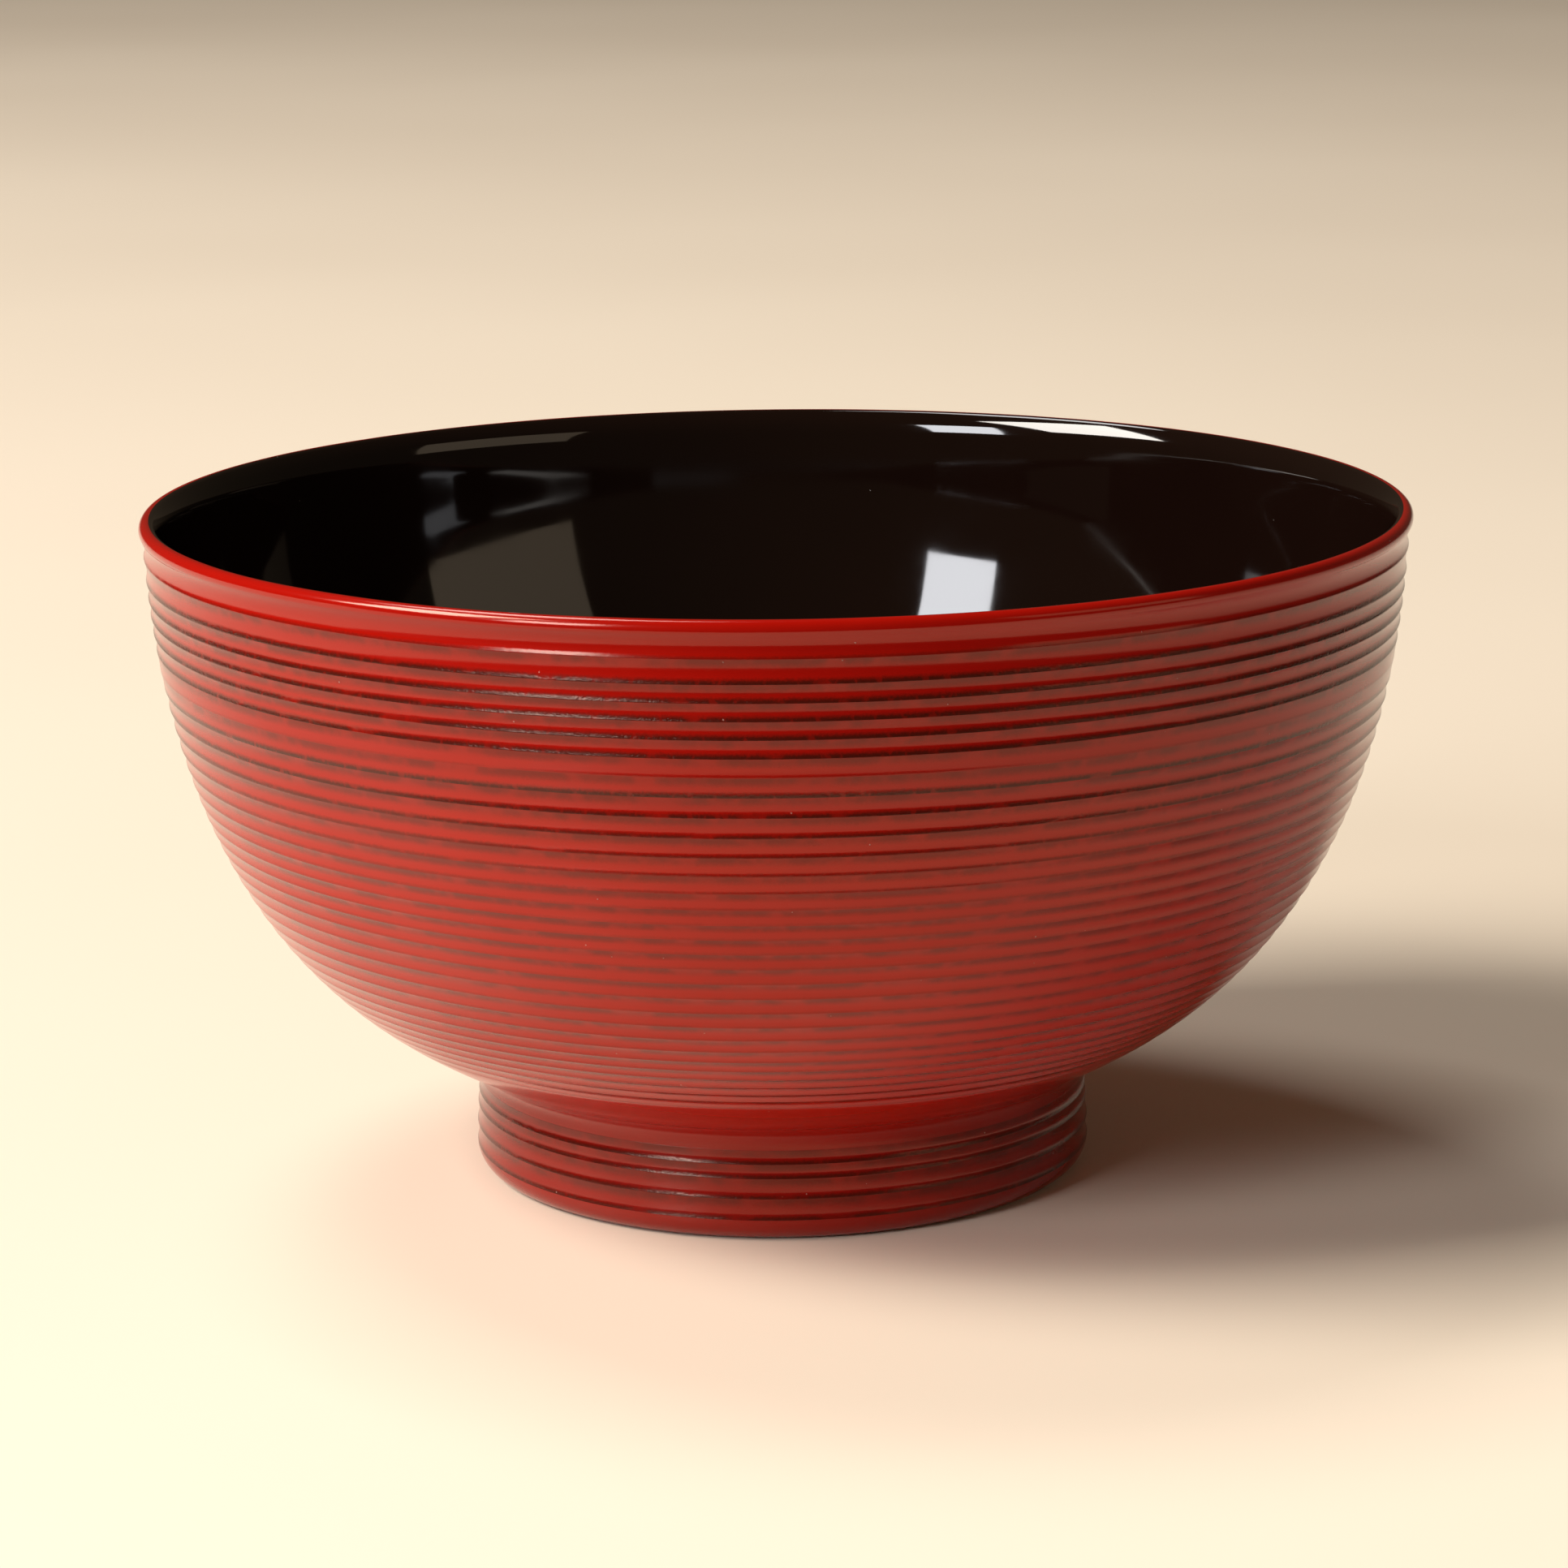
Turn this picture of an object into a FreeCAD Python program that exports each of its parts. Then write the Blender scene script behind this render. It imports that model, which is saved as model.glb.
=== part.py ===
import FreeCAD, Part
import math
import os

# A turned wooden rice bowl, lacquered vermilion outside and black inside.
# Every piece is a body of revolution about +Z. The origin is the centre of the
# ring that the bowl rests on, at the height of the table. Lengths are in mm.
#
# The bowl is built up from the wood outwards, in the order that it is made:
# turned wood, linen let into the wood, ground coat, black middle coat, top coat.
# "Depth" always means the distance below the finished surface, into the wall.

# Overall sizes
RIM_RADIUS = 60.0             # outermost point of the rounded lip
BOWL_HEIGHT = 64.0            # table to the crest of the lip
FOOT_HEIGHT = 10.2            # table to the corner between foot and body
FOOT_RADIUS = 29.6            # foot ring at its widest
FOOT_TOP_INSET = 0.5          # how much narrower the foot ring is at its top
COVE_REACH = 2.0              # how far up the body the rounding of that corner reaches
COVE_FULLNESS = 0.6           # share of the way to the corner that each end's slope is kept

# Body of the bowl: one smooth curve from the foot to the underside of the lip
LIP_OVERHANG = 0.3            # how far the lip stands out past that curve's end
LIP_HEIGHT = 1.4              # crest of the lip down to that curve's end
FOOT_FLARE_DEG = 43.0         # slope of the body where it leaves the foot
RIM_LEAN_DEG = 2.4            # lean of the body from vertical, just below the lip
FOOT_FLARE_LENGTH = 3.7       # how far the body keeps the first slope
RIM_LEAN_LENGTH = 44.7        # how far the body keeps the second

# Lip: a rounded bead that the lacquer runs over
LIP_RADIUS = 0.8              # radius of the bead
LIP_UNDERSIDE_DEG = -35.0     # where the bead's underside runs on into the hollow under it
LIP_INSIDE_DEG = 100.0        # where the vermilion of the lip meets the black inside
LIP_END_DEG = 140.0           # where the bead ends, inside
LIP_FLARE = 1.3               # how gently the inside turns from the lip into the wall

# Wall and floor
WALL_AT_RIM = 2.0
WALL_AT_TURN = 3.1            # wall thickness where the wall turns into the floor
WALL_TOP = 2.0                # along the body from its top: the inside wall starts here
WALL_TURN = 46.0              # along the body from its top: the floor's curve starts here
WALL_STEPS = 6                # points that the inside wall's curve passes through
FLOOR_THICKNESS = 5.0         # between the foot's recess and the inside, at the centre

# Foot ring
RECESS_RADIUS = 25.6          # inside of the foot ring
RECESS_HEIGHT = 6.5           # table to the recess's ceiling
RECESS_FILLET = 1.5           # between the recess's wall and its ceiling
FOOT_INNER_ROUND = 0.8        # rounding of the resting edge, recess side
FOOT_OUTER_ROUND = 2.2        # rounding of the resting edge, outside

# Turned lines: shallow hollows that meet at crests, the first just below the lip.
# They are cut by hand, so their spacing drifts and wavers a little.
LINE_COUNT = 31               # crests on the body
FIRST_LINE = 2.1              # along the body from its top to the first crest
LINE_PITCH = 1.72
LINE_DRIFT = 0.48             # how far the spacing drifts by the middle of the body
LINE_WAVER = 0.3
LINE_WAVER_STEP = 0.543       # radians of waver from one crest to the next
LINE_WAVER_START = 1.65       # radians
FIRST_CREST_LIFT = 0.5        # how far the first crest stands above its place in the spacing
TOP_LINE_DEPTH = 0.18         # depth of the hollows near the rim
LOW_LINE_DEPTH = 0.06         # depth of the hollows near the foot
SMOOTH_BAND = 6               # the crest that is almost smooth, counted from the rim
SMOOTH_BAND_DEPTH = 0.04
FOOT_HOLLOWS = (2.0, 1.9, 1.35, 1.35)   # their heights on the foot ring, going up
FOOT_HOLLOW_CUT = 0.07        # depth of each, as a share of its height

# Thickness of each layer
TOP_COAT = 0.08
MIDDLE_COAT = 0.08
GROUND_COAT = 0.14
LINEN = 0.15

# How far the linen reaches
RIM_LINEN_LINE = 6            # the crest where it ends on the outside
RIM_LINEN_STEP = 1            # the inside wall's point where it ends
WELL_LINEN_RADIUS = 24.0      # disc of linen on the floor inside
FOOT_LINEN_RADIUS = 20.0      # inner edge of the foot's linen, on the recess's ceiling

# Depth of each boundary between layers
SURFACE = 0.0
UNDER_TOP = TOP_COAT
UNDER_MIDDLE = UNDER_TOP + MIDDLE_COAT
UNDER_GROUND = UNDER_MIDDLE + GROUND_COAT
UNDER_LINEN = UNDER_GROUND + LINEN

AXIS_POINT = FreeCAD.Vector(0, 0, 0)
AXIS_UP = FreeCAD.Vector(0, 0, 1)


def at(radius, height):
    """A point in the plane that is turned about the axis."""
    return FreeCAD.Vector(radius, 0, height)


def direction(degrees):
    """A unit vector in that plane, from the outward radius towards +Z."""
    angle = math.radians(degrees)
    return at(math.cos(angle), math.sin(angle))


def line(start, end):
    return Part.makeLine(start, end)


def arc(start, middle, end):
    return Part.Arc(start, middle, end).toShape()


def round_arc(centre, radius, first_deg, last_deg):
    """An arc about a centre, from one angle to another."""
    middle_deg = (first_deg + last_deg) / 2
    return arc(centre + direction(first_deg) * radius,
               centre + direction(middle_deg) * radius,
               centre + direction(last_deg) * radius)


# ---- The body's curve, from the foot up to the underside of the lip ----

FOOT_CORNER = at(FOOT_RADIUS - FOOT_TOP_INSET, FOOT_HEIGHT)
BODY_TOP = at(RIM_RADIUS - LIP_OVERHANG, BOWL_HEIGHT - LIP_HEIGHT)
LIP_CENTRE = at(RIM_RADIUS - LIP_RADIUS, BOWL_HEIGHT - LIP_RADIUS)


def make_body_curve():
    leave_foot = direction(FOOT_FLARE_DEG) * FOOT_FLARE_LENGTH
    reach_rim = direction(90 - RIM_LEAN_DEG) * RIM_LEAN_LENGTH
    curve = Part.BezierCurve()
    curve.setPoles([FOOT_CORNER, FOOT_CORNER + leave_foot, BODY_TOP - reach_rim, BODY_TOP])
    return curve


BODY = make_body_curve()
BODY_LENGTH = BODY.length()


def along_body(distance, depth):
    """The point a distance down the body from its top, and a depth into the wall."""
    place = BODY.parameterAtDistance(BODY_LENGTH - distance, 0.0)
    tangent = BODY.tangent(place)[0]
    into_wall = at(-tangent.z, tangent.x)
    return BODY.value(place) + into_wall * depth


# ---- Turned lines ----

def crest_distance(number):
    """How far down the body a crest is."""
    share = number / (LINE_COUNT - 1)
    drift = LINE_DRIFT * 4 * share * (1 - share)
    waver = LINE_WAVER * math.sin(LINE_WAVER_STEP * number + LINE_WAVER_START)
    lift = FIRST_CREST_LIFT if number == 0 else 0.0
    return FIRST_LINE + LINE_PITCH * number + drift + waver - lift


def hollow_depth(number):
    """Depth of the hollow between a crest and the next one down."""
    if number in (SMOOTH_BAND - 1, SMOOTH_BAND):
        return SMOOTH_BAND_DEPTH
    share = number / (LINE_COUNT - 1)
    return TOP_LINE_DEPTH + (LOW_LINE_DEPTH - TOP_LINE_DEPTH) * share


def hollow(number, depth):
    """The hollow from a crest up to the one above it."""
    low = crest_distance(number)
    high = crest_distance(number - 1)
    cut = hollow_depth(number - 1)
    return arc(along_body(low, depth),
               along_body((low + high) / 2, depth + cut),
               along_body(high, depth))


def foot_corner(depth):
    """The corner between foot and body, where both surfaces' offsets meet."""
    body_side = direction(FOOT_FLARE_DEG + 90)
    foot_side = direction(180)
    both = body_side + foot_side
    reach = depth * 2 / both.dot(both)
    return FOOT_CORNER + both * reach


def foot_point(height, depth):
    """A point on the foot ring's outside, which narrows towards its top."""
    rise = (height - FOOT_OUTER_ROUND) / (FOOT_HEIGHT - FOOT_OUTER_ROUND)
    return at(FOOT_RADIUS - FOOT_TOP_INSET * rise * rise - depth, height)


# ---- The finished outline, piece by piece, at any depth below it ----
# Together these run from the axis under the foot, round the outside and over the
# lip, and back to the axis on the floor inside.

def recess_centre(depth):
    ceiling = RECESS_HEIGHT + depth
    return [line(at(0, ceiling), at(FOOT_LINEN_RADIUS, ceiling))]


def recess_side(depth):
    ceiling = RECESS_HEIGHT + depth
    corner = at(RECESS_RADIUS - RECESS_FILLET, RECESS_HEIGHT - RECESS_FILLET)
    wall = RECESS_RADIUS + depth
    return [line(at(FOOT_LINEN_RADIUS, ceiling), at(corner.x, ceiling)),
            round_arc(corner, RECESS_FILLET + depth, 90, 0),
            line(at(wall, corner.z), at(wall, FOOT_INNER_ROUND))]


def resting_edge(depth):
    inner = at(RECESS_RADIUS + FOOT_INNER_ROUND, FOOT_INNER_ROUND)
    outer = at(FOOT_RADIUS - FOOT_OUTER_ROUND, FOOT_OUTER_ROUND)
    return [round_arc(inner, FOOT_INNER_ROUND - depth, 180, 270),
            line(at(inner.x, depth), at(outer.x, depth)),
            round_arc(outer, FOOT_OUTER_ROUND - depth, 270, 360)]


def foot_wall(depth):
    """From the resting edge's rounding up to the foot's highest crest."""
    edges = []
    low = FOOT_OUTER_ROUND
    for width in FOOT_HOLLOWS:
        high = low + width
        middle = foot_point((low + high) / 2, depth + width * FOOT_HOLLOW_CUT)
        edges.append(arc(foot_point(low, depth), middle, foot_point(high, depth)))
        low = high
    return edges


def cove(depth):
    """The rounded corner between the foot's highest crest and the body."""
    corner = foot_corner(depth)
    low = foot_point(FOOT_OUTER_ROUND + sum(FOOT_HOLLOWS), depth)
    high = along_body(BODY_LENGTH - COVE_REACH, depth)
    curve = Part.BezierCurve()
    curve.setPoles([low, low + (corner - low) * COVE_FULLNESS,
                    high + (corner - high) * COVE_FULLNESS, high])
    return curve.toShape()


def body_low(depth):
    """From the foot's highest crest up to the crest where the rim's linen ends."""
    last = LINE_COUNT - 1
    distance = crest_distance(last)
    cove_end = BODY_LENGTH - COVE_REACH
    plain = arc(along_body(cove_end, depth), along_body((distance + cove_end) / 2, depth),
                along_body(distance, depth))
    edges = [cove(depth), plain]
    edges += [hollow(number, depth) for number in range(last, RIM_LINEN_LINE, -1)]
    return edges


def neck(depth):
    """The hollow from the first crest up to the bead, whose underside it runs on into."""
    outward = direction(LIP_UNDERSIDE_DEG)
    end = LIP_CENTRE + outward * (LIP_RADIUS - depth)
    start = along_body(crest_distance(0), depth)
    across = end - start
    radius = -across.dot(across) / (2 * across.dot(outward))
    centre = end + outward * radius
    inward = (start - centre).normalize() + (end - centre).normalize()
    return arc(start, centre + inward.normalize() * radius, end)


def body_high(depth):
    """From that crest up to the underside of the lip."""
    edges = [hollow(number, depth) for number in range(RIM_LINEN_LINE, 0, -1)]
    return edges + [neck(depth)]


def lip_outside(depth):
    return [round_arc(LIP_CENTRE, LIP_RADIUS - depth, LIP_UNDERSIDE_DEG, 90)]


def lip_inside(depth):
    return [round_arc(LIP_CENTRE, LIP_RADIUS - depth, 90, LIP_INSIDE_DEG)]


def wall_points(depth):
    """Points down the inside wall, a wall's thickness in from the body's curve."""
    points = []
    for step in range(WALL_STEPS + 1):
        share = step / WALL_STEPS
        distance = WALL_TOP + (WALL_TURN - WALL_TOP) * share
        wall = WALL_AT_RIM + (WALL_AT_TURN - WALL_AT_RIM) * share
        points.append(along_body(distance, wall - depth))
    return points


def floor_centre(depth):
    return at(0, RECESS_HEIGHT + FLOOR_THICKNESS - depth)


def inside_curve(depth):
    """The inside wall and floor as one curve, level where it meets the axis."""
    points = wall_points(depth)
    down_wall = points[1] - points[0]
    curve = Part.BSplineCurve()
    curve.interpolate(Points=points + [floor_centre(depth)],
                      InitialTangent=down_wall,
                      FinalTangent=at(-down_wall.Length, 0))
    return curve


def inside_rim(depth):
    """From the lip's inner edge down to where the rim's linen ends."""
    curve = inside_curve(depth)
    points = wall_points(depth)
    bead = round_arc(LIP_CENTRE, LIP_RADIUS - depth, LIP_INSIDE_DEG, LIP_END_DEG)
    lip_edge = LIP_CENTRE + direction(LIP_END_DEG) * (LIP_RADIUS - depth)
    off_lip = direction(LIP_END_DEG + 90) * LIP_FLARE
    down_wall = (points[1] - points[0]).normalize() * LIP_FLARE
    flare = Part.BezierCurve()
    flare.setPoles([lip_edge, lip_edge + off_lip, points[0] - down_wall, points[0]])
    linen_end = curve.parameter(points[RIM_LINEN_STEP])
    return [bead, flare.toShape(), curve.toShape(curve.FirstParameter, linen_end)]


def well_edge(curve):
    """Where the curve of the inside crosses the edge of the floor's linen."""
    upright = Part.LineSegment(at(WELL_LINEN_RADIUS, 0), at(WELL_LINEN_RADIUS, BOWL_HEIGHT))
    crossing = curve.intersect(upright)[0]
    return curve.parameter(at(crossing.X, crossing.Z))


def inside_wall(depth):
    curve = inside_curve(depth)
    linen_end = curve.parameter(wall_points(depth)[RIM_LINEN_STEP])
    return [curve.toShape(linen_end, well_edge(curve))]


def inside_well(depth):
    curve = inside_curve(depth)
    return [curve.toShape(well_edge(curve), curve.LastParameter)]


RECESS = [recess_centre, recess_side]
OUTSIDE = [foot_wall, body_low, body_high]
INSIDE = [inside_rim, inside_wall, inside_well]


# ---- Turning an outline into a solid ----

def first_point(edges):
    return edges[0].valueAt(edges[0].FirstParameter)


def last_point(edges):
    return edges[-1].valueAt(edges[-1].LastParameter)


def turn(edges):
    """The solid that a closed outline makes when it is turned about the axis."""
    outline = Part.Wire(Part.sortEdges(edges)[0])
    solid = Part.Face(outline).revolve(AXIS_POINT, AXIS_UP, 360)
    if solid.Volume < 0:
        solid.reverse()
    return solid


def outline_at(stretches, depth):
    edges = []
    for stretch in stretches:
        edges += stretch(depth)
    return edges


def layer(stretches, outer_depth, inner_depth):
    """The solid between two depths along some stretches of the finished outline."""
    outer = outline_at(stretches, outer_depth)
    inner = outline_at(stretches, inner_depth)
    ends = [line(first_point(outer), first_point(inner)),
            line(last_point(outer), last_point(inner))]
    return turn(outer + inner + ends)


# ---- The pieces ----

def turned_wood():
    """The wood, cut back a little wherever linen is let into it."""
    parts = [(recess_centre, UNDER_GROUND), (recess_side, UNDER_LINEN),
             (resting_edge, UNDER_LINEN), (foot_wall, UNDER_LINEN),
             (body_low, UNDER_GROUND), (body_high, UNDER_LINEN),
             (lip_outside, UNDER_LINEN), (lip_inside, UNDER_LINEN),
             (inside_rim, UNDER_LINEN), (inside_wall, UNDER_GROUND),
             (inside_well, UNDER_LINEN)]
    outline = []
    for stretch, depth in parts:
        edges = stretch(depth)
        if outline:
            step_start = last_point(outline)
            step_end = first_point(edges)
            if step_start.distanceToPoint(step_end) > LINEN / 10:
                outline.append(line(step_start, step_end))
        outline += edges
    outline.append(line(last_point(outline), first_point(outline)))
    return turn(outline)


def linen_pieces():
    return {
        "rim_linen": layer([body_high, lip_outside, lip_inside, inside_rim],
                           UNDER_GROUND, UNDER_LINEN),
        "well_linen": layer([inside_well], UNDER_GROUND, UNDER_LINEN),
        "foot_linen": layer([recess_side, resting_edge, foot_wall],
                            UNDER_GROUND, UNDER_LINEN),
    }


def under_coats():
    """Ground and black middle coats, each brushed outside and inside in turn."""
    outside = RECESS + [resting_edge] + OUTSIDE + [lip_outside]
    inside = [lip_inside] + INSIDE
    return {
        "outer_ground_coat": layer(outside, UNDER_MIDDLE, UNDER_GROUND),
        "inner_ground_coat": layer(inside, UNDER_MIDDLE, UNDER_GROUND),
        "outer_middle_coat": layer(outside, UNDER_TOP, UNDER_MIDDLE),
        "inner_middle_coat": layer(inside, UNDER_TOP, UNDER_MIDDLE),
    }


def top_coats():
    return {
        "outer_top_coat": layer(OUTSIDE, SURFACE, UNDER_TOP),
        "rim_top_coat": layer([lip_outside, lip_inside], SURFACE, UNDER_TOP),
        "inner_top_coat": layer(INSIDE, SURFACE, UNDER_TOP),
        "foot_edge_top_coat": layer([resting_edge], SURFACE, UNDER_TOP),
        "recess_top_coat": layer(RECESS, SURFACE, UNDER_TOP),
    }


def main():
    pieces = {"turned_wood": turned_wood()}
    pieces.update(linen_pieces())
    pieces.update(under_coats())
    pieces.update(top_coats())
    os.makedirs("parts", exist_ok=True)
    for name, solid in pieces.items():
        solid.exportStep("parts/" + name + ".step")
        print(name, "valid", solid.isValid(), "volume", round(solid.Volume, 1), "mm3")


main()
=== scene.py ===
import math

import bmesh
import bpy
from mathutils import Matrix, Vector, noise


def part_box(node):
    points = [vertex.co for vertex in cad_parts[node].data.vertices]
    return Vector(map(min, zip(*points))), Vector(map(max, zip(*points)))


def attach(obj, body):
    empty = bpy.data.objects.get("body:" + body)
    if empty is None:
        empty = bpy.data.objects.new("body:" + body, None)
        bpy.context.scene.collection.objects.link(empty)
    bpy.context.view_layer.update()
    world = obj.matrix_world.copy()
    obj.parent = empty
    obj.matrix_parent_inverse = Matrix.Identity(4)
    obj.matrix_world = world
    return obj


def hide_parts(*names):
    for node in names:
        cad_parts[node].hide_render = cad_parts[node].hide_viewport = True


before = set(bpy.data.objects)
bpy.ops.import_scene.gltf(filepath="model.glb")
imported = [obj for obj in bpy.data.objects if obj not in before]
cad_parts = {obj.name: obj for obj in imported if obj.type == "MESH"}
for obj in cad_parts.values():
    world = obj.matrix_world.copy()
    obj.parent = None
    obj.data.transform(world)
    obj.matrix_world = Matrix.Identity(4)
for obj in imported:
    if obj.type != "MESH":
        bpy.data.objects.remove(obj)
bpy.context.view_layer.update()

# A turned wooden rice bowl, lacquered vermilion outside and black inside.
# Lengths are in metres, written as millimetres times MM. Outlines are (radius, height)
# pairs, turned about the Z axis. "Depth" is the distance below the finished surface.

MM = 0.001

# ---- Sizes, from the frame where it has them ----

RIM_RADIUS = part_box("rim_top_coat")[1][0]
BOWL_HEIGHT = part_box("rim_top_coat")[1][2]
FOOT_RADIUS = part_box("foot_edge_top_coat")[1][0]
FOOT_OUTER_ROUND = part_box("foot_edge_top_coat")[1][2]
TOP_COAT = 0.08 * MM
MIDDLE_COAT = 0.08 * MM
RECESS_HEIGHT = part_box("recess_top_coat")[1][2] - TOP_COAT
RECESS_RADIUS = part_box("recess_top_coat")[1][0] - TOP_COAT
FOOT_INNER_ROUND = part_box("recess_top_coat")[0][2]
FLOOR_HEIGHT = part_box("inner_top_coat")[0][2] + TOP_COAT

FOOT_HEIGHT = 10.2 * MM
FOOT_TOP_INSET = 0.5 * MM
COVE_REACH = 2.0 * MM
COVE_FULLNESS = 0.6
RECESS_FILLET = 1.5 * MM

LIP_RADIUS = 0.8 * MM
LIP_OVERHANG = 0.3 * MM
LIP_HEIGHT = 1.4 * MM
LIP_UNDERSIDE_DEG = -35.0
LIP_TOP_DEG = 90.0
LIP_INSIDE_DEG = 100.0
LIP_END_DEG = 140.0
LIP_FLARE = 1.3 * MM

FOOT_FLARE_DEG = 43.0
FOOT_FLARE_LENGTH = 3.7 * MM
RIM_LEAN_DEG = 2.4
RIM_LEAN_LENGTH = 44.7 * MM

WALL_AT_RIM = 2.0 * MM
WALL_AT_TURN = 3.1 * MM
WALL_TOP = 2.0 * MM
WALL_TURN = 46.0 * MM
WALL_STEPS = 6
FLOOR_KNEE = 0.36             # how far the floor's curve keeps each end's slope, as a share
FLOOR_FLAT = 0.45             # of the radius where the wall ends

LINE_COUNT = 31
FIRST_LINE = 2.1 * MM
LINE_PITCH = 1.72 * MM
LINE_DRIFT = 0.48 * MM
LINE_WAVER = 0.3 * MM
LINE_WAVER_STEP = 0.543
LINE_WAVER_START = 1.65
FIRST_CREST_LIFT = 0.5 * MM
TOP_LINE_DEPTH = 0.18 * MM
LOW_LINE_DEPTH = 0.06 * MM
SMOOTH_BAND = 6
SMOOTH_BAND_DEPTH = 0.04 * MM
FOOT_HOLLOWS = (2.0 * MM, 1.9 * MM, 1.35 * MM, 1.35 * MM)
FOOT_HOLLOW_CUT = 0.07

# Mesh fineness
TURN_STEPS = 216              # facets round the bowl
# places across a hollow, closer together near the crests
FINE_HOLLOW = (0.0, 0.04, 0.12, 0.24, 0.38, 0.52, 0.66, 0.78, 0.88, 0.96)
COARSE_HOLLOW = (0.0, 0.12, 0.5, 0.88)
PLAIN_STEPS = 12              # along the plain band above the foot
CURVE_STEPS = 2000            # for measuring along the body's curve
FLOOR_SPANS = 5               # the floor has this many times the wall's steps
SHARP_DEG = 70                # edges sharper than this aren't smoothed over
ON_AXIS = 1e-7                # a radius below this is on the axis
NO_CREST = 5.0                # millimetres from the nearest crest, where there is none

# How far the vermilion is rubbed through along a crest, from 0 to 1
FOOT_WEAR = 0.75
LOWEST_WEAR = 0.3
FIRST_WEAR = 0.5
WORN_CRESTS = 6               # crests nearest the rim, all rubbed fully
WEAR_FADE = 0.09              # and how much less each crest below them is

# The hand's unevenness, small enough to stay clear of the coat beneath
LINE_WANDER = 0.05 * MM
LINE_WANDER_SCALE = Vector((60, 60, 420))
SURFACE_WANDER = 0.010 * MM
SURFACE_WANDER_SCALE = 160


# ---- Outlines ----

class Station:
    """One point of an outline, and what the lacquer is like there."""

    def __init__(self, radius, height, crest_gap=NO_CREST, crest_side=0.0, wear=0.0):
        self.place = Vector((radius, height))
        self.crest_gap = crest_gap        # mm to the nearest crest
        self.crest_side = crest_side      # +1 just above a crest, -1 just below one
        self.wear = wear                  # how worn the nearest crest is, 0 to 1


def direction(degrees):
    angle = math.radians(degrees)
    return Vector((math.cos(angle), math.sin(angle)))


def arc(centre, radius, first_deg, last_deg, steps):
    stations = []
    for step in range(steps + 1):
        angle = first_deg + (last_deg - first_deg) * step / steps
        stations.append(Station(*(centre + direction(angle) * radius)))
    return stations


def bezier(points, share):
    start, leave, reach, end = points
    left = 1 - share
    return (start * left ** 3 + leave * 3 * left ** 2 * share
            + reach * 3 * left * share ** 2 + end * share ** 3)


FOOT_CORNER = Vector((FOOT_RADIUS - FOOT_TOP_INSET, FOOT_HEIGHT))
BODY_TOP = Vector((RIM_RADIUS - LIP_OVERHANG, BOWL_HEIGHT - LIP_HEIGHT))
LIP_CENTRE = Vector((RIM_RADIUS - LIP_RADIUS, BOWL_HEIGHT - LIP_RADIUS))
BODY_CURVE = (FOOT_CORNER,
              FOOT_CORNER + direction(FOOT_FLARE_DEG) * FOOT_FLARE_LENGTH,
              BODY_TOP - direction(90 - RIM_LEAN_DEG) * RIM_LEAN_LENGTH,
              BODY_TOP)


def measure_body():
    """Distance down the body from its top, at even steps of the curve."""
    points = [bezier(BODY_CURVE, 1 - step / CURVE_STEPS) for step in range(CURVE_STEPS + 1)]
    distances = [0.0]
    for before, after in zip(points, points[1:]):
        distances.append(distances[-1] + (after - before).length)
    return points, distances


BODY_POINTS, BODY_DISTANCES = measure_body()
BODY_LENGTH = BODY_DISTANCES[-1]


def along_body(distance, depth):
    """The point a distance down the body from its top, and a depth into the wall."""
    low, high = 0, CURVE_STEPS - 1
    while low < high:
        middle = (low + high + 1) // 2
        if BODY_DISTANCES[middle] <= distance:
            low = middle
        else:
            high = middle - 1
    start, end = BODY_POINTS[low], BODY_POINTS[low + 1]
    span = BODY_DISTANCES[low + 1] - BODY_DISTANCES[low]
    downhill = (end - start).normalized()
    into_wall = Vector((downhill.y, -downhill.x))
    return start.lerp(end, (distance - BODY_DISTANCES[low]) / span) + into_wall * depth


def crest_distance(number):
    share = number / (LINE_COUNT - 1)
    drift = LINE_DRIFT * 4 * share * (1 - share)
    waver = LINE_WAVER * math.sin(LINE_WAVER_STEP * number + LINE_WAVER_START)
    lift = FIRST_CREST_LIFT if number == 0 else 0.0
    return FIRST_LINE + LINE_PITCH * number + drift + waver - lift


def hollow_depth(number):
    if number in (SMOOTH_BAND - 1, SMOOTH_BAND):
        return SMOOTH_BAND_DEPTH
    share = number / (LINE_COUNT - 1)
    return TOP_LINE_DEPTH + (LOW_LINE_DEPTH - TOP_LINE_DEPTH) * share


def crest_wear(number):
    """The crests near the rim are rubbed most, apart from the first."""
    if number == SMOOTH_BAND:
        return LOWEST_WEAR
    if number == 0:
        return FIRST_WEAR
    return max(LOWEST_WEAR, 1.0 - WEAR_FADE * max(0, number - WORN_CRESTS))


def hollow_stations(low, high, cut, places, point_at, low_wear, high_wear):
    """A hollow from its lower crest up to, but not including, the crest above it."""
    stations = []
    width = abs(high - low)
    for place in places:
        sink = cut * (1 - (2 * place - 1) ** 2)
        spot = point_at(low + (high - low) * place, sink)
        gap = min(place, 1 - place) * width / MM
        side = 0.0 if place == 0 else 1 - 2 * place
        wear = low_wear if place < 0.5 else high_wear
        stations.append(Station(spot.x, spot.y, gap, side, wear))
    return stations


def foot_corner(depth):
    both = direction(FOOT_FLARE_DEG + 90) + direction(180)
    return FOOT_CORNER + both * (depth * 2 / both.dot(both))


def foot_point(height, depth):
    rise = (height - FOOT_OUTER_ROUND) / (FOOT_HEIGHT - FOOT_OUTER_ROUND)
    return Vector((FOOT_RADIUS - FOOT_TOP_INSET * rise * rise - depth, height))


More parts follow.
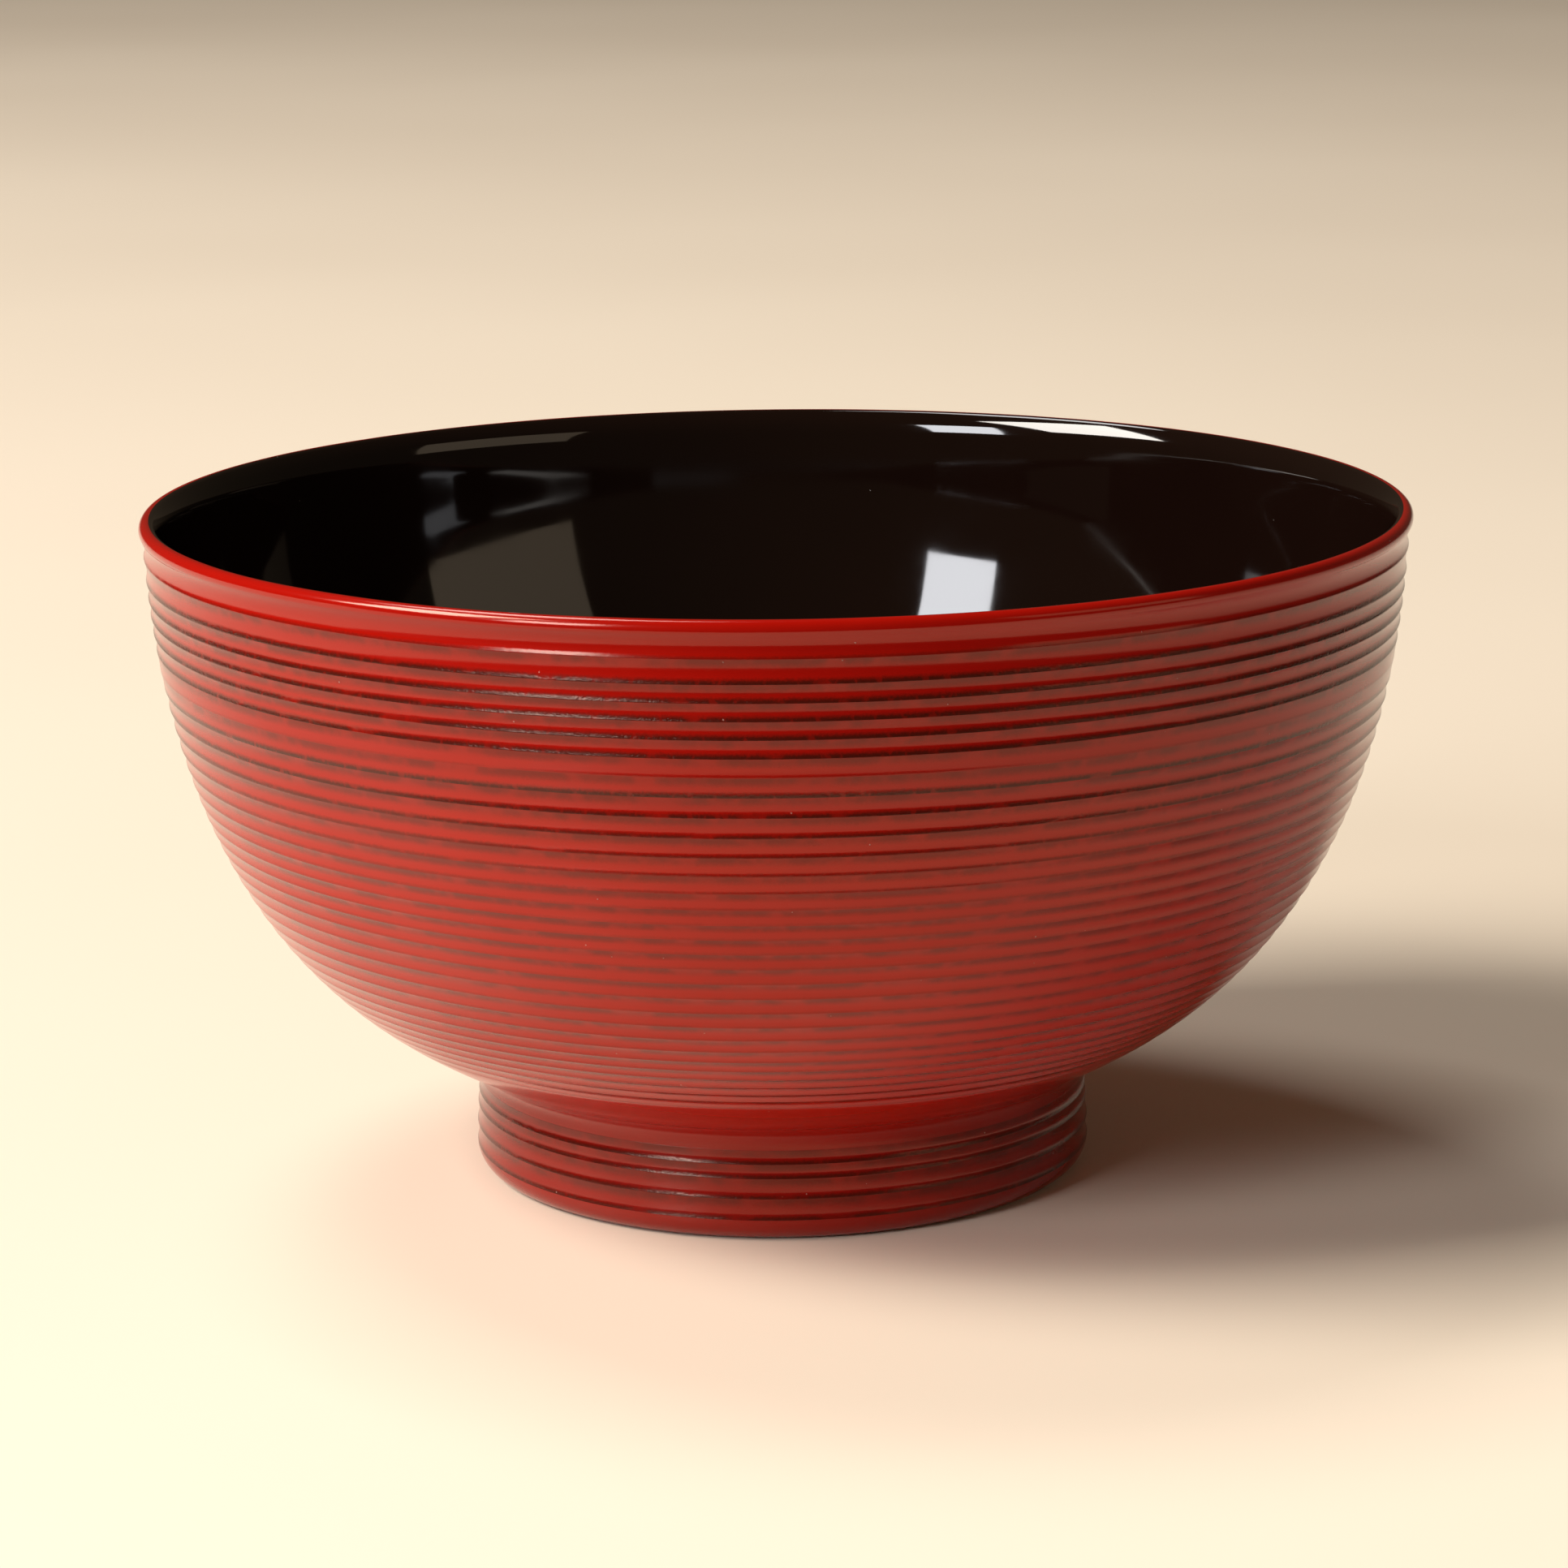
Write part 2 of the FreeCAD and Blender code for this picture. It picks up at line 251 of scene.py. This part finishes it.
def foot_stations(depth, places):
    """The foot ring's outside, up to its highest crest."""
    stations = []

    def foot_at(height, sink):
        return foot_point(height, depth + sink)

    low = FOOT_OUTER_ROUND
    for width in FOOT_HOLLOWS:
        stations += hollow_stations(low, low + width, width * FOOT_HOLLOW_CUT, places, foot_at,
                                    FOOT_WEAR, FOOT_WEAR)
        low += width
    return stations


def cove_stations(depth, steps):
    """The rounded corner between the foot's highest crest and the body."""
    corner = foot_corner(depth)
    low = foot_point(FOOT_OUTER_ROUND + sum(FOOT_HOLLOWS), depth)
    high = along_body(BODY_LENGTH - COVE_REACH, depth)
    legs = (low, low.lerp(corner, COVE_FULLNESS), high.lerp(corner, COVE_FULLNESS), high)
    stations = [Station(low.x, low.y, 0.0, 0.0, FOOT_WEAR)]
    stations += [Station(*bezier(legs, step / steps)) for step in range(1, steps)]
    return stations


def outside(depth, places):
    """The vermilion outside, from the foot's rounded edge up to the lip."""

    def body_at(distance, sink):
        return along_body(distance, depth + sink)

    last = LINE_COUNT - 1
    plain_start, plain_end = BODY_LENGTH - COVE_REACH, crest_distance(last)
    stations = foot_stations(depth, places) + cove_stations(depth, len(places))
    for step in range(PLAIN_STEPS):
        spot = along_body(plain_start + (plain_end - plain_start) * step / PLAIN_STEPS, depth)
        stations.append(Station(spot.x, spot.y))
    for number in range(last, 0, -1):
        stations += hollow_stations(crest_distance(number), crest_distance(number - 1),
                                    hollow_depth(number - 1), places, body_at,
                                    crest_wear(number), crest_wear(number - 1))
    return stations + neck_stations(depth, places)


def neck_stations(depth, places):
    """The hollow from the first crest up to the bead, whose underside it runs on into."""
    outward = direction(LIP_UNDERSIDE_DEG)
    end = LIP_CENTRE + outward * (LIP_RADIUS - depth)
    start = along_body(crest_distance(0), depth)
    across = end - start
    radius = -across.length_squared / (2 * across.dot(outward))
    centre = end + outward * radius
    stations = []
    for place in tuple(places) + (1.0,):
        spot = centre + (start - centre).lerp(end - centre, place).normalized() * radius
        gap = place * across.length / MM
        side = 0.0 if place == 0 else 1 - 2 * place
        stations.append(Station(spot.x, spot.y, gap, side, crest_wear(0)))
    return stations


def lip(depth, steps, last_deg=LIP_INSIDE_DEG):
    return arc(LIP_CENTRE, LIP_RADIUS - depth, LIP_UNDERSIDE_DEG, last_deg, steps)


def outer_middle(depth, steps):
    """Under all the vermilion coats, from the middle of the recess up to the lip's top."""
    stations = recess(depth, steps) + resting_edge(depth, steps)[1:]
    stations += outside(depth, COARSE_HOLLOW)[1:]
    return stations + lip(depth, steps, LIP_TOP_DEG)[1:]


def wall_points(depth):
    points = []
    for step in range(WALL_STEPS + 1):
        share = step / WALL_STEPS
        wall = WALL_AT_RIM + (WALL_AT_TURN - WALL_AT_RIM) * share
        points.append(along_body(WALL_TOP + (WALL_TURN - WALL_TOP) * share, wall - depth))
    return points


def smooth_through(points, last_tangent, steps):
    """A smooth curve through points, by cubic spans between them."""
    tangents = [points[1] - points[0]]
    for before, after in zip(points, points[2:]):
        tangents.append((after - before) / 2)
    tangents.append(last_tangent)
    found = []
    for index in range(len(points) - 1):
        start, end = points[index], points[index + 1]
        reach = (end - start).length / 3
        legs = (start, start + tangents[index].normalized() * reach,
                end - tangents[index + 1].normalized() * reach, end)
        found += [bezier(legs, step / steps) for step in range(steps)]
    return found + [points[-1]]


def inside(depth, steps):
    """The black inside, from the lip down the wall to the centre of the floor."""
    stations = arc(LIP_CENTRE, LIP_RADIUS - depth, LIP_INSIDE_DEG, LIP_END_DEG, steps)
    points = wall_points(depth)
    lip_edge = LIP_CENTRE + direction(LIP_END_DEG) * (LIP_RADIUS - depth)
    down_wall = (points[1] - points[0]).normalized()
    flare = (lip_edge, lip_edge + direction(LIP_END_DEG + 90) * LIP_FLARE,
             points[0] - down_wall * LIP_FLARE, points[0])
    stations += [Station(*bezier(flare, step / steps)) for step in range(1, steps)]
    centre = Vector((0.0, FLOOR_HEIGHT - depth))
    floor_turn = points[-1] - points[-2]
    knee = points[-1] + floor_turn.normalized() * (points[-1].x * FLOOR_KNEE)
    shallow = Vector((points[-1].x * FLOOR_FLAT, FLOOR_HEIGHT - depth))
    floor_steps = FLOOR_SPANS * steps
    floor = [bezier((points[-1], knee, shallow, centre), step / floor_steps)
             for step in range(1, floor_steps + 1)]
    wall = smooth_through(points, floor_turn, steps)
    return stations + [Station(*spot) for spot in wall + floor]


def inner_middle(depth, steps):
    """Under the black inside, from the lip's top to the centre of the floor."""
    top = arc(LIP_CENTRE, LIP_RADIUS - depth, LIP_TOP_DEG, LIP_INSIDE_DEG, 2)
    return top + inside(depth, steps)[1:]


def resting_edge(depth, steps):
    inner = Vector((RECESS_RADIUS + FOOT_INNER_ROUND, FOOT_INNER_ROUND))
    outer = Vector((FOOT_RADIUS - FOOT_OUTER_ROUND, FOOT_OUTER_ROUND))
    return (arc(inner, FOOT_INNER_ROUND - depth, 180, 270, steps)
            + arc(outer, FOOT_OUTER_ROUND - depth, 270, 360, steps))


def recess(depth, steps):
    """Under the foot, from the centre of the recess's ceiling to the resting edge."""
    ceiling = RECESS_HEIGHT + depth
    corner = Vector((RECESS_RADIUS - RECESS_FILLET, RECESS_HEIGHT - RECESS_FILLET))
    stations = [Station(corner.x * step / steps, ceiling) for step in range(steps)]
    stations += arc(corner, RECESS_FILLET + depth, 90, 0, steps)
    for step in range(1, steps + 1):
        height = corner.y + (FOOT_INNER_ROUND - corner.y) * step / steps
        stations.append(Station(RECESS_RADIUS + depth, height))
    return stations


# ---- Turning outlines into meshes ----

def wander(place, tangent, amount):
    """A small push along and across the outline, different all round the bowl."""
    along = noise.noise(place * LINE_WANDER_SCALE) * LINE_WANDER * amount
    lump = noise.noise(place * SURFACE_WANDER_SCALE) * SURFACE_WANDER * amount
    across = Vector((tangent.y, -tangent.x))
    return tangent * along + across * lump


def lay_rings(build, stations, surface_count, amount):
    """A ring of vertices for each station, with what the lacquer is like there."""
    gap = build.verts.layers.float.new("crest_gap")
    side = build.verts.layers.float.new("crest_side")
    wear = build.verts.layers.float.new("crest_wear")
    rings = []
    for index, station in enumerate(stations):
        before = stations[max(index - 1, 0)].place
        after = stations[min(index + 1, len(stations) - 1)].place
        tangent = (after - before).normalized()
        pole = station.place.x < ON_AXIS
        ring = []
        for step in range(1 if pole else TURN_STEPS):
            angle = 2 * math.pi * step / TURN_STEPS
            spot = station.place
            if index < surface_count and not pole:
                spot = spot + wander(turned(spot, angle), tangent, amount)
            vert = build.verts.new(turned(spot, angle))
            vert[gap] = station.crest_gap
            vert[side] = station.crest_side
            vert[wear] = station.wear
            ring.append(vert)
        rings.append(ring)
    return rings


def lathe(name, surface, back, material, amount=1.0):
    """A closed coat: its surface stations, then its back, turned about the axis."""
    build = bmesh.new()
    rings = lay_rings(build, surface + back[::-1], len(surface), amount)
    pairs = list(zip(rings, rings[1:]))
    if surface[0].place.x >= ON_AXIS:
        pairs.append((rings[-1], rings[0]))
    for low, high in pairs:
        join_rings(build, low, high)
    bmesh.ops.recalc_face_normals(build, faces=build.faces)
    mesh = bpy.data.meshes.new(name)
    build.to_mesh(mesh)
    build.free()
    mesh.shade_smooth()
    mesh.set_sharp_from_angle(angle=math.radians(SHARP_DEG))
    mesh.materials.append(material)
    piece = bpy.data.objects.new(name, mesh)
    bpy.context.scene.collection.objects.link(piece)
    return piece


def turned(place, angle):
    return Vector((place.x * math.cos(angle), place.x * math.sin(angle), place.y))


def join_rings(build, low, high):
    """Faces between two rings, either of which may be a single point on the axis."""
    if len(low) == 1 and len(high) == 1:
        return
    for step in range(TURN_STEPS):
        after = (step + 1) % TURN_STEPS
        if len(low) == 1:
            build.faces.new((low[0], high[after], high[step]))
        elif len(high) == 1:
            build.faces.new((low[step], low[after], high[0]))
        else:
            build.faces.new((low[step], low[after], high[after], high[step]))


# ---- Materials ----

class Looks:
    """A node material, with short ways to add and join nodes."""

    def __init__(self, name):
        self.material = bpy.data.materials.new(name)
        self.material.use_nodes = True
        self.tree = self.material.node_tree
        self.shader = self.tree.nodes["Principled BSDF"]
        self.coords = self.node("ShaderNodeTexCoord").outputs["Object"]

    def node(self, kind, inputs=None, **settings):
        found = self.tree.nodes.new(kind)
        for key, value in settings.items():
            setattr(found, key, value)
        for key, value in (inputs or {}).items():
            self.feed(found.inputs[key], value)
        return found

    def feed(self, socket, value):
        if isinstance(value, bpy.types.NodeSocket):
            self.tree.links.new(value, socket)
        else:
            socket.default_value = value

    def set(self, **inputs):
        for key, value in inputs.items():
            self.feed(self.shader.inputs[key.replace("_", " ")], value)

    def noise(self, scale, detail=2.0, roughness=0.5, stretch=None):
        vector = self.coords
        if stretch:
            vector = self.node("ShaderNodeMapping", {"Vector": vector, "Scale": stretch}).outputs[0]
        return self.node("ShaderNodeTexNoise", {"Vector": vector, "Scale": scale, "Detail": detail,
                                                "Roughness": roughness}).outputs["Fac"]

    def math(self, operation, first, second=0.0):
        return self.node("ShaderNodeMath", {0: first, 1: second}, operation=operation).outputs[0]

    def add_scaled(self, value, other, scale, shift):
        """value + other * scale + shift"""
        shifted = self.math("ADD", value, shift)
        scaled = self.node("ShaderNodeMath", {0: other, 1: scale, 2: shifted},
                           operation="MULTIPLY_ADD")
        return scaled.outputs[0]

    def product(self, first, *others):
        for other in others:
            first = self.math("MULTIPLY", first, other)
        return first

    def ramp(self, value, low, high, to_low=0.0, to_high=1.0):
        """A smooth step from to_low, where value is low, to to_high, where it is high."""
        return self.node("ShaderNodeMapRange", {"Value": value, "From Min": low, "From Max": high,
                                                "To Min": to_low, "To Max": to_high},
                         interpolation_type="SMOOTHSTEP").outputs["Result"]

    def mix(self, share, first, second):
        found = self.node("ShaderNodeMix", data_type="RGBA")
        self.feed(found.inputs["Factor"], share)
        self.feed(found.inputs["A"], (*first, 1.0) if isinstance(first, tuple) else first)
        self.feed(found.inputs["B"], (*second, 1.0) if isinstance(second, tuple) else second)
        return found.outputs["Result"]

    def attribute(self, name):
        return self.node("ShaderNodeAttribute", attribute_name=name).outputs["Fac"]

    def bump(self, height, distance, strength=1.0, normal=None):
        inputs = {"Height": height, "Distance": distance, "Strength": strength}
        if normal:
            inputs["Normal"] = normal
        return self.node("ShaderNodeBump", inputs).outputs["Normal"]


def lacquer_specks(looks, scale, size):
    """Tiny raised specks of dust that settled in the lacquer as it dried."""
    cells = looks.node("ShaderNodeTexVoronoi", {"Vector": looks.coords, "Scale": scale})
    rare = looks.node("ShaderNodeSeparateColor", {"Color": cells.outputs["Color"]}).outputs["Red"]
    dot = looks.ramp(cells.outputs["Distance"], size * 0.5, size, 1.0, 0.0)
    chosen = looks.ramp(rare, 0.90, 0.92)
    return looks.math("MULTIPLY", dot, chosen)


def worn_lines(looks, fine):
    """The dark bands along the crests, and those together with the stains beneath them."""
    gap = looks.attribute("crest_gap")
    wear = looks.attribute("crest_wear")
    above = looks.ramp(looks.attribute("crest_side"), -0.1, 0.1)

    # just above a crest: a dark band with a ragged upper edge and a few thin places
    reach = looks.ramp(wear, 0.3, 1.0, 0.28, 0.58)
    ragged = looks.add_scaled(gap, fine, 0.34, -0.17)
    band = looks.ramp(looks.math("DIVIDE", ragged, reach), 0.25, 1.20, 1.0, 0.0)
    long_gaps = looks.ramp(looks.noise(230, 2.0, 0.5, stretch=(1, 1, 2.6)), 0.30, 0.42, 0.55, 1.0)
    short_gaps = looks.ramp(looks.noise(1000, 2.0, 0.6, stretch=(1, 1, 0.7)), 0.32, 0.46, 0.7, 1.0)
    strength = looks.ramp(wear, 0.25, 0.9, 0.28, 0.95)
    dark = looks.product(band, long_gaps, short_gaps, strength, above)

    # just below it: a stained strip that fades out downwards
    faded = looks.ramp(looks.add_scaled(gap, fine, 0.40, -0.20), 0.25, 1.10, 1.0, 0.0)
    below = looks.math("SUBTRACT", 1.0, above)
    uneven = looks.ramp(looks.noise(320, 2.0, 0.6), 0.3, 0.6, 0.20, 0.60)
    stain = looks.product(faded, below, uneven)
    return dark, looks.math("MAXIMUM", dark, stain)


def vermilion_red(looks):
    """The red itself, deeper near the rim than low on the body, and darkest on the foot, where the
    darker red is painted shade for the body's shadow.
    """
    height = looks.node("ShaderNodeSeparateXYZ", {"Vector": looks.coords}).outputs["Z"]
    above_foot = looks.ramp(height, 0.8 * FOOT_HEIGHT, 1.3 * FOOT_HEIGHT)
    low_body = looks.ramp(height, 0.35 * BOWL_HEIGHT, 0.85 * BOWL_HEIGHT, 1.0, 0.0)
    drift = looks.ramp(looks.noise(90, 3.0, 0.6), 0.2, 0.8, -0.15, 0.15)
    body_red = looks.mix(looks.math("ADD", low_body, drift),
                         (0.31, 0.0034, 0.0010), (0.36, 0.0068, 0.0020))
    # The foot's darker red is painted shade: the shadow that the body above casts on the foot ring.
    foot_painted_shade_red = looks.mix(drift, (0.22, 0.0026, 0.0010), (0.40, 0.0050, 0.0020))
    return looks.mix(above_foot, foot_painted_shade_red, body_red)


def vermilion_lacquer():
    """Vermilion over black, rubbed through to the black along the turned crests."""
    looks = Looks("vermilion_lacquer")
    fine = looks.noise(4200, 3.0, 0.65)
    dark, rubbed = worn_lines(looks, fine)
    specks = lacquer_specks(looks, 900, 0.09)
    base = looks.mix(rubbed, vermilion_red(looks), (0.042, 0.0040, 0.0018))
    base = looks.mix(looks.math("MULTIPLY", specks, 0.35), base, (0.65, 0.40, 0.34))
    peel = looks.bump(looks.noise(700, 2.0, 0.5), 0.008 * MM, 0.5)
    grit = looks.bump(looks.math("MULTIPLY", fine, dark), 0.05 * MM, 0.8, peel)
    looks.set(Base_Color=base, Roughness=looks.ramp(rubbed, 0.0, 1.0, 0.14, 0.17),
              Normal=looks.bump(specks, 0.05 * MM, 1.0, grit), IOR=1.5,
              Specular_Tint=(1.0, 0.72, 0.58, 1.0))
    return looks.material


def black_lacquer():
    """Polished black lacquer, a very dark brown where light gets into it."""
    looks = Looks("black_lacquer")
    cloud = looks.noise(40, 3.0, 0.6)
    specks = lacquer_specks(looks, 500, 0.05)
    base = looks.mix(cloud, (0.0045, 0.0016, 0.0010), (0.0065, 0.0026, 0.0016))
    base = looks.mix(looks.math("MULTIPLY", specks, 0.5), base, (0.10, 0.08, 0.07))
    rough = looks.ramp(looks.noise(130, 3.0, 0.6), 0.3, 0.7, 0.035, 0.06)
    swell = looks.bump(looks.noise(55, 1.0, 0.4), 0.02 * MM, 0.5)
    looks.set(Base_Color=base, Roughness=rough, Normal=looks.bump(specks, 0.03 * MM, 1.0, swell),
              IOR=1.53)
    return looks.material


def middle_coat():
    """Black middle coat, rubbed dull with charcoal."""
    looks = Looks("black_middle_coat")
    rub = looks.noise(900, 4.0, 0.7, stretch=(1, 1, 6))
    looks.set(Base_Color=looks.mix(rub, (0.012, 0.008, 0.007), (0.035, 0.022, 0.018)),
              Roughness=looks.ramp(rub, 0.2, 0.8, 0.38, 0.6),
              Normal=looks.bump(rub, 0.01 * MM))
    return looks.material


def ground_coat():
    """Baked clay powder in lacquer: dull brown-grey with fine grit."""
    looks = Looks("ground")
    grit = looks.noise(2600, 4.0, 0.75)
    cloud = looks.noise(120, 2.0, 0.5)
    base = looks.mix(grit, (0.060, 0.044, 0.032), (0.16, 0.12, 0.085))
    looks.set(Base_Color=looks.mix(looks.math("MULTIPLY", cloud, 0.4), base, (0.05, 0.03, 0.02)),
              Roughness=looks.ramp(grit, 0.2, 0.8, 0.75, 0.95),
              Normal=looks.bump(grit, 0.03 * MM))
    return looks.material


def linen():
    """Open plain weave, stiffened with lacquer."""
    looks = Looks("linen")
    weave = []
    for axis in ("X", "Z"):
        wave = looks.node("ShaderNodeTexWave", {"Vector": looks.coords, "Scale": 420,
                                                "Distortion": 1.2, "Detail": 2.0},
                          wave_type="BANDS", bands_direction=axis)
        weave.append(wave.outputs["Fac"])
    cloth = looks.math("MAXIMUM", weave[0], weave[1])
    looks.set(Base_Color=looks.mix(cloth, (0.16, 0.12, 0.08), (0.52, 0.44, 0.31)),
              Roughness=looks.ramp(cloth, 0.0, 1.0, 0.95, 0.8),
              Normal=looks.bump(cloth, 0.08 * MM))
    return looks.material


def turned_wood():
    """Zelkova with its growth rings and pores, as it comes off the lathe."""
    looks = Looks("wood")
    rings = looks.node("ShaderNodeTexWave", {"Vector": looks.coords, "Scale": 45, "Distortion": 5.0,
                                             "Detail": 3.0, "Detail Scale": 1.2},
                       wave_type="RINGS", rings_direction="X").outputs["Fac"]
    pores = looks.noise(1500, 3.0, 0.7, stretch=(0.15, 1, 1))
    base = looks.mix(rings, (0.36, 0.19, 0.085), (0.55, 0.34, 0.17))
    dark_pores = looks.ramp(pores, 0.58, 0.68)
    looks.set(Base_Color=looks.mix(dark_pores, base, (0.16, 0.08, 0.035)),
              Roughness=looks.ramp(pores, 0.3, 0.7, 0.55, 0.75),
              Normal=looks.bump(pores, 0.03 * MM))
    return looks.material


def table_top():
    """A plain pale surface to stand on."""
    looks = Looks("table_top")
    drift = looks.noise(3, 2.0, 0.5)
    looks.set(Base_Color=looks.mix(drift, (0.83, 0.715, 0.565), (0.87, 0.765, 0.615)),
              Roughness=looks.ramp(drift, 0.0, 1.0, 0.45, 0.55))
    return looks.material


def show(node, material):
    """Gives a node that stays in the frame its material."""
    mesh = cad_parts[node].data
    mesh.materials.clear()
    mesh.materials.append(material)


# ---- The pieces ----

def stand_for(piece, node):
    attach(piece, "root")
    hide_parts(node)


def make_pieces():
    vermilion = vermilion_lacquer()
    black = black_lacquer()
    body = lathe("body_vermilion", outside(0.0, FINE_HOLLOW), outside(TOP_COAT, COARSE_HOLLOW),
                 vermilion)
    stand_for(body, "outer_top_coat")
    rim = lathe("rim_vermilion", lip(0.0, 28), lip(TOP_COAT, 12), vermilion)
    stand_for(rim, "rim_top_coat")
    bowl_inside = lathe("inside_black", inside(0.0, 12), inside(TOP_COAT, 6), black, 0.6)
    stand_for(bowl_inside, "inner_top_coat")
    edge = lathe("foot_edge_vermilion", resting_edge(0.0, 10), resting_edge(TOP_COAT, 6), vermilion,
                 0.3)
    stand_for(edge, "foot_edge_top_coat")
    under = lathe("recess_vermilion", recess(0.0, 12), recess(TOP_COAT, 8), vermilion, 0.6)
    stand_for(under, "recess_top_coat")
    dull_black = middle_coat()
    for name, outline in (("outer_middle", outer_middle), ("inner_middle", inner_middle)):
        coat = lathe(name + "_black", outline(TOP_COAT, 6), outline(TOP_COAT + MIDDLE_COAT, 6),
                     dull_black, 0.0)
        stand_for(coat, name + "_coat")


def dress_frame():
    """Materials for the layers that keep their frame meshes."""
    show("turned_wood", turned_wood())
    cloth = linen()
    for node in ("rim_linen", "well_linen", "foot_linen"):
        show(node, cloth)
    ground = ground_coat()
    for node in ("outer_ground_coat", "inner_ground_coat"):
        show(node, ground)


# ---- Camera, light and stage ----

CAMERA_DISTANCE = 474.9 * MM
CAMERA_HEIGHT = 143.7 * MM
CAMERA_SIDE = 0.5 * MM
CAMERA_PITCH_DEG = 12.71
CAMERA_ROLL_DEG = -0.61
CAMERA_LENS = 116.5           # millimetres
SENSOR_WIDTH = 36.0           # millimetres

FLOOR_HALF = 3.0
CARD_HALF = 0.9               # the black card's half width
CARD_NEAR = -0.17             # its lower edge, on the floor in front of the bowl
CARD_FAR = -0.33              # its upper edge, further out
CARD_RISE = 0.08              # height of its upper edge
ROOM_COLOUR = (0.055, 0.040, 0.026, 1.0)


def place_camera():
    data = bpy.data.cameras.new("camera")
    data.lens = CAMERA_LENS
    data.sensor_width = SENSOR_WIDTH
    data.clip_start = 0.01
    camera = bpy.data.objects.new("camera", data)
    bpy.context.scene.collection.objects.link(camera)
    camera.matrix_world = (Matrix.Translation((CAMERA_SIDE, -CAMERA_DISTANCE, CAMERA_HEIGHT))
                           @ Matrix.Rotation(math.radians(90 - CAMERA_PITCH_DEG), 4, "X")
                           @ Matrix.Rotation(math.radians(CAMERA_ROLL_DEG), 4, "Z"))
    bpy.context.scene.camera = camera


def soft_box(name, turn_deg, rise_deg, distance, size, power, colour):
    """A rectangular light, turned from the front towards the left, aimed at the bowl."""
    data = bpy.data.lights.new(name, "AREA")
    data.shape = "RECTANGLE"
    data.size, data.size_y = size
    data.energy = power
    data.color = colour
    light = bpy.data.objects.new(name, data)
    bpy.context.scene.collection.objects.link(light)
    turn, rise = math.radians(turn_deg), math.radians(rise_deg)
    away = Vector((-math.sin(turn) * math.cos(rise), -math.cos(turn) * math.cos(rise),
                   math.sin(rise)))
    light.location = Vector((0, 0, BOWL_HEIGHT / 2)) + away * distance
    light.rotation_euler = away.to_track_quat("Z", "Y").to_euler()


def place_lights():
    soft_box("left_key", 75, 42, 2.2, (1.0, 1.0), 66, (1.0, 0.94, 0.87))
    soft_box("front_window", 40, 24.5, 1.3, (0.34, 0.48), 8.5, (0.95, 0.96, 1.0))
    soft_box("top_panel", 141, 63, 2.0, (0.7, 0.7), 14, (1.0, 0.97, 0.96))
    soft_box("right_wall", -60, 20, 1.3, (0.8, 0.5), 1.0, (1.0, 0.78, 0.55))
    world = bpy.data.worlds.new("room")
    world.use_nodes = True
    world.node_tree.nodes["Background"].inputs["Color"].default_value = ROOM_COLOUR
    bpy.context.scene.world = world


def black_flag():
    """A black card, low in front, that keeps the far floor out of the gloss. It isn't seen
    itself and casts no shadow."""
    mesh = bpy.data.meshes.new("black_flag")
    mesh.from_pydata([(-CARD_HALF, CARD_NEAR, 0), (CARD_HALF, CARD_NEAR, 0),
                      (CARD_HALF, CARD_FAR, CARD_RISE), (-CARD_HALF, CARD_FAR, CARD_RISE)],
                     [], [(0, 1, 2, 3)])
    looks = Looks("black_flag")
    felt = looks.noise(400, 3.0, 0.6)
    looks.set(Base_Color=looks.mix(felt, (0.008, 0.007, 0.006), (0.014, 0.012, 0.010)),
              Roughness=looks.ramp(felt, 0.0, 1.0, 0.9, 1.0))
    mesh.materials.append(looks.material)
    flag = bpy.data.objects.new("black_flag", mesh)
    flag.visible_camera = False
    flag.visible_shadow = False
    bpy.context.scene.collection.objects.link(flag)


def lay_floor():
    mesh = bpy.data.meshes.new("table_top")
    mesh.from_pydata([(-FLOOR_HALF, -FLOOR_HALF, 0), (FLOOR_HALF, -FLOOR_HALF, 0),
                      (FLOOR_HALF, FLOOR_HALF, 0), (-FLOOR_HALF, FLOOR_HALF, 0)],
                     [], [(0, 1, 2, 3)])
    mesh.materials.append(table_top())
    floor = bpy.data.objects.new("table_top", mesh)
    bpy.context.scene.collection.objects.link(floor)


place_camera()
make_pieces()
dress_frame()
place_lights()
lay_floor()
black_flag()
bpy.context.scene.view_settings.view_transform = "Standard"
